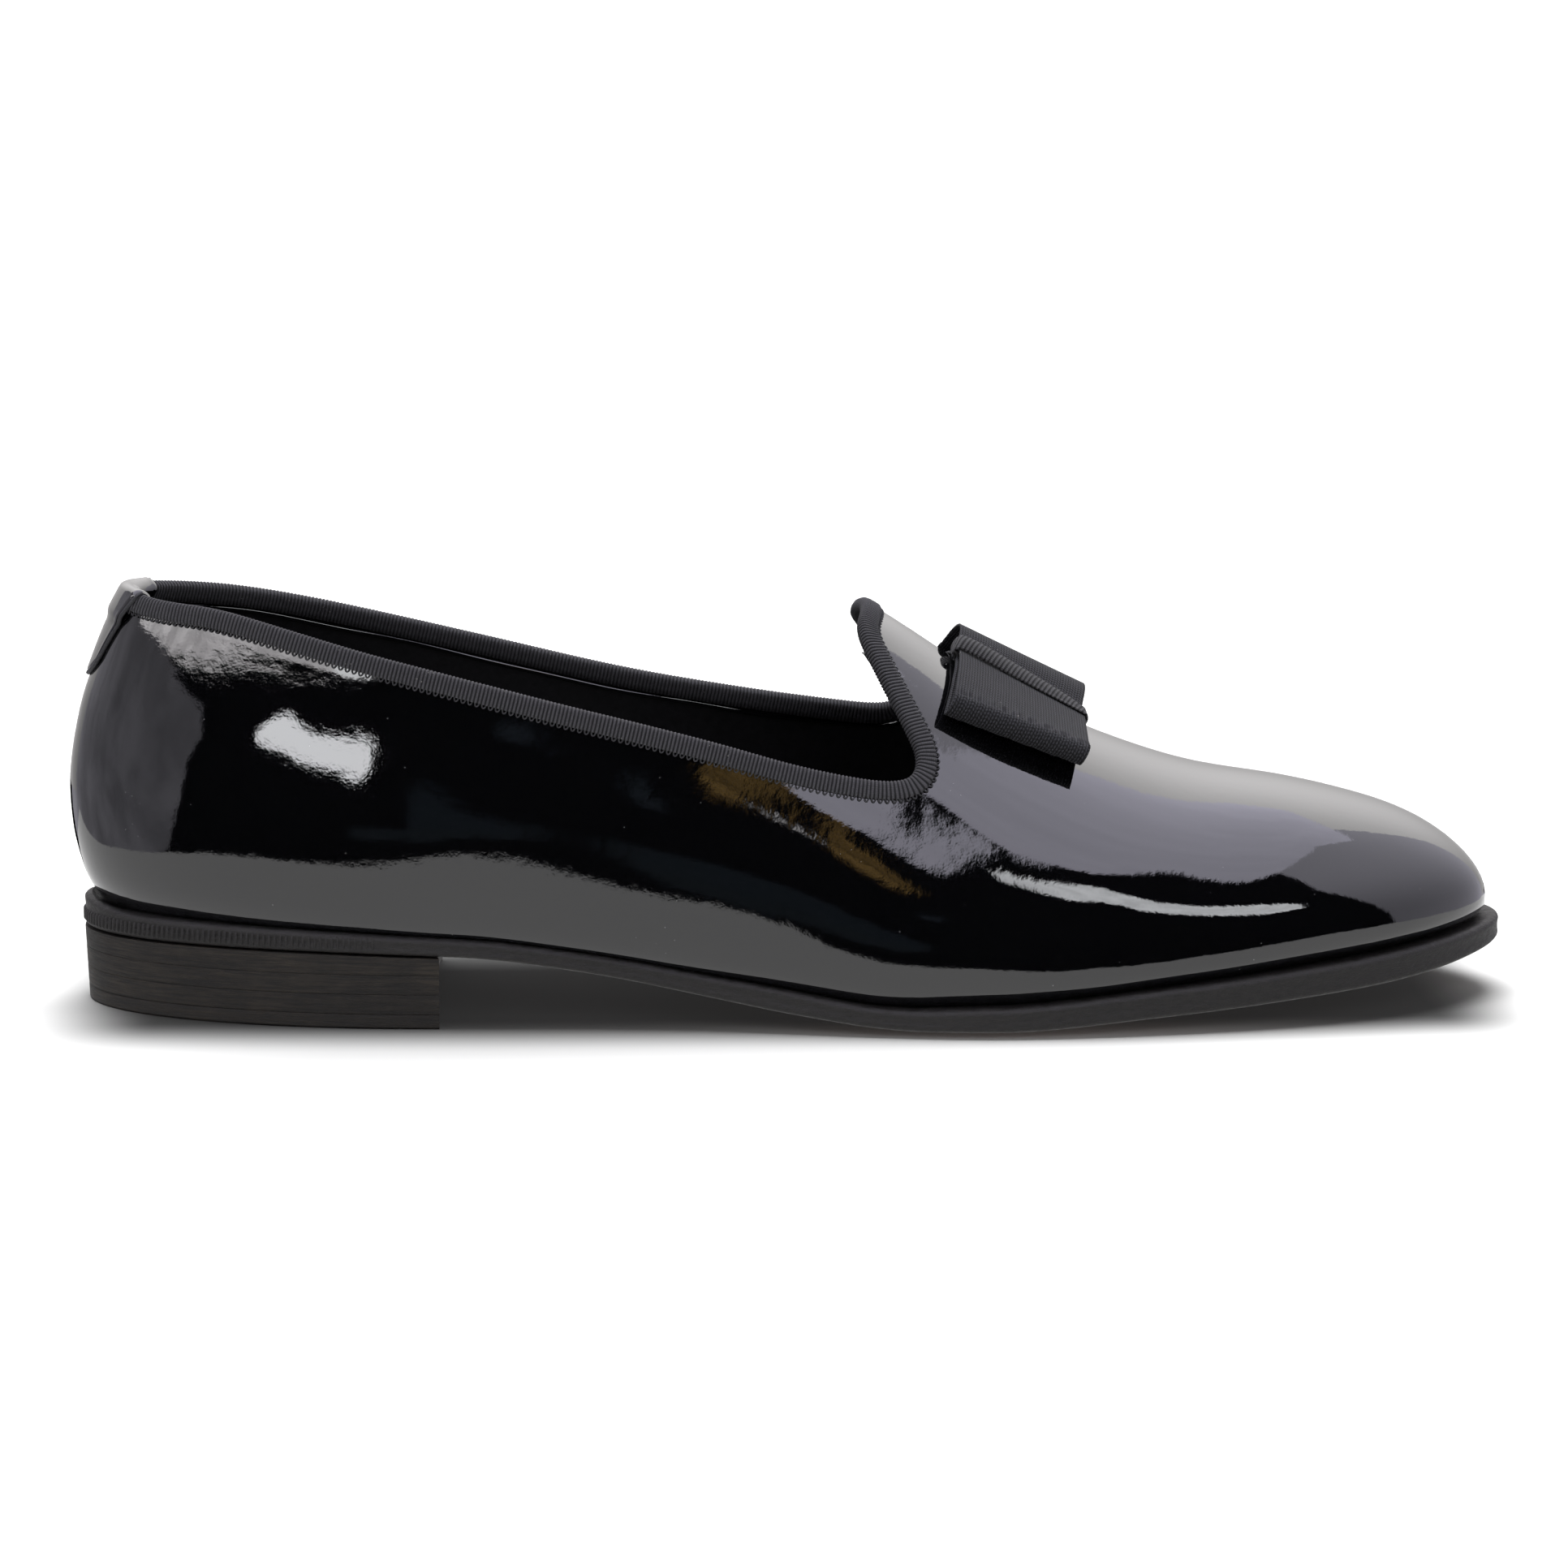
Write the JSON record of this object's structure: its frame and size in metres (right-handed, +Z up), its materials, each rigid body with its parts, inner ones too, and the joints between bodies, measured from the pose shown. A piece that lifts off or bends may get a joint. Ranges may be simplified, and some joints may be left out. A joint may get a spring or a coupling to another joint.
{
  "type": "opera pump",
  "caption": "Right-foot black patent opera pump with a flat ribbon bow, ribbed edge binding, heel tab, leather sole and low stacked heel.",
  "frame": {"origin": "middle of the shoe's box in plan, on the floor it stands on", "axes": "+X from the heel to the toe, +Y to the inner side of the foot, +Z up"},
  "size_m": [0.3026, 0.0968, 0.0879],
  "materials": {
    "black_patent": "patent, mirror gloss",
    "black_grosgrain": "ribbed, matt",
    "bow_ribbon_black": "ribbed, matt",
    "sole_edge_black": "burnished edge",
    "stacked_heel_black": "stained layers, satin",
    "top_piece_black": "matt",
    "sock_leather_black": "matt"
  },
  "bodies": {
    "root": {"outsole": "sole_edge_black", "top_piece": "top_piece_black", "heel_lift_lower": "stacked_heel_black", "heel_lift_middle": "stacked_heel_black", "heel_lift_upper": "stacked_heel_black", "upper": "black_patent", "insole": "sock_leather_black", "collar_binding": "black_grosgrain", "heel_tab": "black_patent", "bow_ribbon": "bow_ribbon_black", "bow_band": "bow_ribbon_black"}
  },
  "joints": []
}
